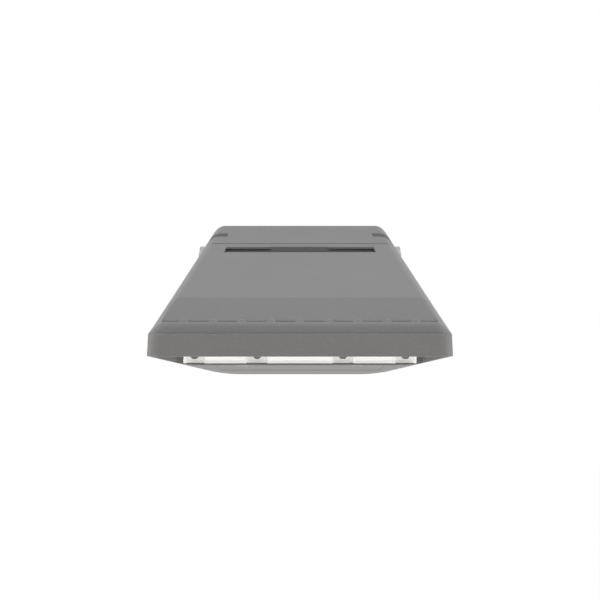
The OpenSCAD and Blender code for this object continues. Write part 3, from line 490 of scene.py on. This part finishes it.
def lamps():
    """Each lamp as a white base with a domed phosphor on it."""
    side, base_t, chip_t = 3.4 * MM, 0.3 * MM, 1.2 * MM
    dome_r, dome_h, sunk, rings = 1.35 * MM, 0.85 * MM, 0.1 * MM, 6
    rises = [math.pi / 2 * i / rings for i in range(rings)]
    profile = [(dome_r * math.cos(a), dome_h * math.sin(a)) for a in rises]
    profile = [(dome_r, -sunk)] + profile + [(0, dome_h)]
    base, dome = bmesh.new(), bmesh.new()
    size = Matrix.Diagonal((side, side, base_t, 1))
    for at, way in spots("led_chips", down):
        top = at + Vector((0, 0, chip_t - base_t))
        middle = Matrix.Translation(top + Vector((0, 0, base_t / 2)))
        bmesh.ops.create_cube(base, size=1, matrix=middle @ size)
        lathe(dome, profile, turned(top, way), steps=20)
    bmesh.ops.bevel(base, geom=base.edges, offset=0.1 * MM, segments=1, affect="EDGES")
    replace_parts(new_piece("lamp_bases", base, "led_chips", "board"), "led_chips")
    new_piece("lamp_domes", dome, "led_chips", "led", 60)


def driver_case():
    """Extruded case with grooved sides and a cap on each end."""
    low, high = (Vector(v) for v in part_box("driver"))
    cap, cap_round, depth, rim, corner = 7 * MM, 1.4 * MM, 1.1 * MM, 8 * MM, 1.5 * MM
    grooves = 4
    y0, y1, z0, z1 = low.y, high.y, low.z, high.z
    pitch = (z1 - z0 - 2 * rim) / (2 * grooves - 1)
    ribs = []
    for i in range(2 * grooves):
        z = z0 + rim + i * pitch
        ribs += [(0, z), (depth, z)] if i % 2 == 0 else [(depth, z), (0, z)]
    outline = [(y0 + corner, z0), (y1 - corner, z0), (y1, z0 + corner)]
    outline += [(y1 - a, z) for a, z in ribs]
    outline += [(y1, z1 - corner), (y1 - corner, z1), (y0 + corner, z1), (y0, z1 - corner)]
    outline += [(y0 + a, z) for a, z in reversed(ribs)]
    outline += [(y0, z0 + corner)]
    bm = bmesh.new()
    ends = [[bm.verts.new((x, y, z)) for y, z in outline] for x in (low.x + cap, high.x - cap)]
    bm.faces.new(ends[0])
    bm.faces.new(ends[1][::-1])
    for i in range(len(outline)):
        j = (i + 1) % len(outline)
        bm.faces.new([ends[0][i], ends[1][i], ends[1][j], ends[0][j]])
    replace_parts(new_piece("driver_case", bm, "driver", "driver_case", 25), "driver")
    bm = bmesh.new()
    for x0, x1 in ((low.x, low.x + cap), (high.x - cap, high.x)):
        middle = Vector(((x0 + x1) / 2, (y0 + y1) / 2, (z0 + z1) / 2))
        size = Matrix.Diagonal((x1 - x0, y1 - y0, z1 - z0, 1))
        bmesh.ops.create_cube(bm, size=1, matrix=Matrix.Translation(middle) @ size)
    bmesh.ops.bevel(bm, geom=bm.edges, offset=cap_round, segments=3, affect="EDGES")
    new_piece("driver_caps", bm, "driver", "black_plastic")
    bm = bmesh.new()
    screw = [(0, -0.6), (1.1, -0.5), (1.1, 0), (2.3, 0), (2.4, -0.3), (2.4, -1.2), (0, -1.2)]
    profile = [(r * MM, h * MM) for r, h in screw]
    inset = 7 * MM
    for x, way in ((low.x, -1), (high.x, 1)):
        for y in (y0 + inset, y1 - inset):
            for z in (z0 + inset, z1 - inset):
                lathe(bm, profile, turned((x, y, z), Vector((way, 0, 0))), steps=24)
    new_piece("driver_cap_screws", bm, "driver", "steel")


def terminal_screws():
    """A slotted screw in each pole of the terminal block."""
    low, high = (Vector(v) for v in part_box("terminal_block"))
    poles, sunk, slot_share = (-1, 0, 1), 2.6 * MM, 0.22
    pitch = (high.x - low.x) / len(poles)
    level, out = (low.z + high.z) / 2, Vector((0, -1, 0))
    places = [(Vector((i * pitch, low.y + sunk, level)), out) for i in poles]
    screw = [(0, -1.4), (2.45, -1.4), (2.45, -0.3), (2.1, 0), (0, 0)]
    bm = bmesh.new()
    for at, way in places:
        lathe(bm, [(r * MM, h * MM) for r, h in screw], turned(at, way), steps=28)
    ob = new_piece("terminal_screws", bm, "terminal_block", "steel")

    def slotted(a):
        return slot_share / max(slot_share, abs(math.sin(a)))
    cut_drives(ob, places, size=1.9 * MM, depth=0.7 * MM, sides=slotted)


# Outlet slot: place of its rear edge, how near to it a face lies, its half-width,
# its lowest face, and how much its faces' normals point forward at least
SLOT_Y, SLOT_NEAR, SLOT_HALF, SLOT_LOW = -82.3 * MM, 6 * MM, 93 * MM, 45 * MM
SLOT_FACING = 0.5


def in_slot(face):
    """True for the faces that look forward out of the outlet slot, which get painted shade."""
    at = face.center
    near = abs(at.y - SLOT_Y) < SLOT_NEAR and abs(at.x) < SLOT_HALF
    return face.normal.y < -SLOT_FACING and near and at.z > SLOT_LOW


def build_pieces():
    made = {}
    for node, width in EDGE_MM.items():
        made[node] = softened(node, width, 3 if width >= WIDE_MM else 2)
    drive_sockets(made)
    lamps()
    driver_case()
    terminal_screws()
    recolour(made["lens_screws"], "dark_steel")
    # Painted shade on the faces inside the lens's screw pockets
    recolour(made["lens"], "lens_pocket_shade", lens_pockets(made["lens"]))
    recolour(made["lens"], "lens_below", lens_below(made["lens"]))
    # Painted shade on the faces that look out of the outlet slot
    recolour(made["top_cover"], "slot_painted_shade", in_slot)


# --------------------------------------------------------------- lighting
# Radiance of the studio on the camera's side and on the wall's side. It goes from
# one to the other over TURN each way in a direction's Y, and fades in at the
# horizon over HORIZON each way in its Z
STUDIO = {"front": 0.0, "back": 1.06}
TURN, HORIZON = 0.9, 0.04

# Each soft box: place, size in metres and power in watts; all of them face AIM
AIM = (0, -0.15, 0)
BOXES = {
    "front_top": ((0, -1.1, 1.2), (1.2, 0.8), 10.8),
    "side_left": ((-1.6, -0.45, 0.15), (1.4, 1.4), 10.4),
    "side_right": ((1.6, -0.45, 0.15), (1.4, 1.4), 10.4),
}

# Floor: its radius and height, its glow as a light on the part, and, where it is
# seen straight, its own white and the share of the light on it that it adds
FLOOR_R, FLOOR_Z = 9, -1.6
FLOOR_GLOW, FLOOR_WHITE, FLOOR_MATT = 0.31, 0.87, 0.3


def blend(nodes, links, value, from_min, from_max, to_min, to_max):
    """Number that follows another smoothly from one range to the other."""
    node = nodes.new("ShaderNodeMapRange")
    node.interpolation_type = "SMOOTHSTEP"
    ends = {"From Min": from_min, "From Max": from_max, "To Min": to_min, "To Max": to_max}
    for name, v in ends.items():
        node.inputs[name].default_value = v
    links.new(value, node.inputs["Value"])
    return node.outputs["Result"]


def maths(nodes, links, op, a, b):
    node = nodes.new("ShaderNodeMath")
    node.operation = op
    links.new(a, node.inputs[0])
    links.new(b, node.inputs[1])
    return node.outputs["Value"]


def seen_plain(nodes, links):
    """One for rays that show the backdrop: straight, mirrored or through the lens."""
    path = nodes.new("ShaderNodeLightPath")
    kinds = ("Camera", "Transmission", "Glossy")
    camera, through, mirrored = (path.outputs["Is %s Ray" % kind] for kind in kinds)
    straight = maths(nodes, links, "MAXIMUM", camera, through)
    return maths(nodes, links, "MAXIMUM", straight, mirrored)


def world_light():
    world = bpy.data.worlds.new("studio")
    bpy.context.scene.world = world
    world.use_nodes = True
    nodes, links = world.node_tree.nodes, world.node_tree.links
    nodes.clear()
    out = nodes.new("ShaderNodeOutputWorld")
    coord = nodes.new("ShaderNodeTexCoord")
    split = nodes.new("ShaderNodeSeparateXYZ")
    links.new(coord.outputs["Generated"], split.inputs["Vector"])
    front, back = STUDIO["front"], STUDIO["back"]
    behind = blend(nodes, links, split.outputs["Y"], -TURN, TURN, front, back)
    above = blend(nodes, links, split.outputs["Z"], -HORIZON, HORIZON, 0.0, 1.0)
    studio = nodes.new("ShaderNodeBackground")
    links.new(maths(nodes, links, "MULTIPLY", behind, above), studio.inputs["Strength"])
    white = nodes.new("ShaderNodeBackground")
    white.inputs["Color"].default_value = (1, 1, 1, 1)
    mix = nodes.new("ShaderNodeMixShader")
    links.new(seen_plain(nodes, links), mix.inputs["Fac"])
    links.new(studio.outputs["Background"], mix.inputs[1])
    links.new(white.outputs["Background"], mix.inputs[2])
    links.new(mix.outputs["Shader"], out.inputs["Surface"])


def area(name, at, size, power):
    data = bpy.data.lights.new(name, "AREA")
    data.shape = "RECTANGLE"
    data.size, data.size_y = size
    data.energy = power
    ob = bpy.data.objects.new(name, data)
    ob.location = at
    ob.rotation_euler = (Vector(AIM) - Vector(at)).to_track_quat("-Z", "Y").to_euler()
    bpy.context.scene.collection.objects.link(ob)


def floor():
    me = bpy.data.meshes.new("floor")
    bm = bmesh.new()
    bmesh.ops.create_circle(bm, cap_ends=True, segments=64, radius=FLOOR_R)
    bm.to_mesh(me)
    bm.free()
    ob = bpy.data.objects.new("floor", me)
    ob.location = (0, 0, FLOOR_Z)
    bpy.context.scene.collection.objects.link(ob)
    m, nodes, links, bsdf = principled("floor_white")
    bsdf.inputs["Base Color"].default_value = (0.88, 0.85, 0.82, 1)
    bsdf.inputs["Roughness"].default_value = 0.9
    bsdf.inputs["Emission Color"].default_value = (1, 0.93, 0.88, 1)
    bsdf.inputs["Emission Strength"].default_value = FLOOR_GLOW
    # Seen straight it is white, apart from the object's shadow
    glow = nodes.new("ShaderNodeEmission")
    glow.inputs["Strength"].default_value = FLOOR_WHITE
    matt = nodes.new("ShaderNodeBsdfDiffuse")
    matt.inputs["Color"].default_value = (FLOOR_MATT, FLOOR_MATT, FLOOR_MATT, 1)
    plain = nodes.new("ShaderNodeAddShader")
    links.new(glow.outputs["Emission"], plain.inputs[0])
    links.new(matt.outputs["BSDF"], plain.inputs[1])
    mix = nodes.new("ShaderNodeMixShader")
    links.new(seen_plain(nodes, links), mix.inputs["Fac"])
    links.new(bsdf.outputs["BSDF"], mix.inputs[1])
    links.new(plain.outputs["Shader"], mix.inputs[2])
    links.new(mix.outputs["Shader"], nodes["Material Output"].inputs["Surface"])
    me.materials.append(m)


def lights():
    world_light()
    for name, (at, size, power) in BOXES.items():
        area(name, at, size, power)
    floor()


bpy.context.scene.view_settings.view_transform = "Standard"
place_camera()
build_pieces()
lights()
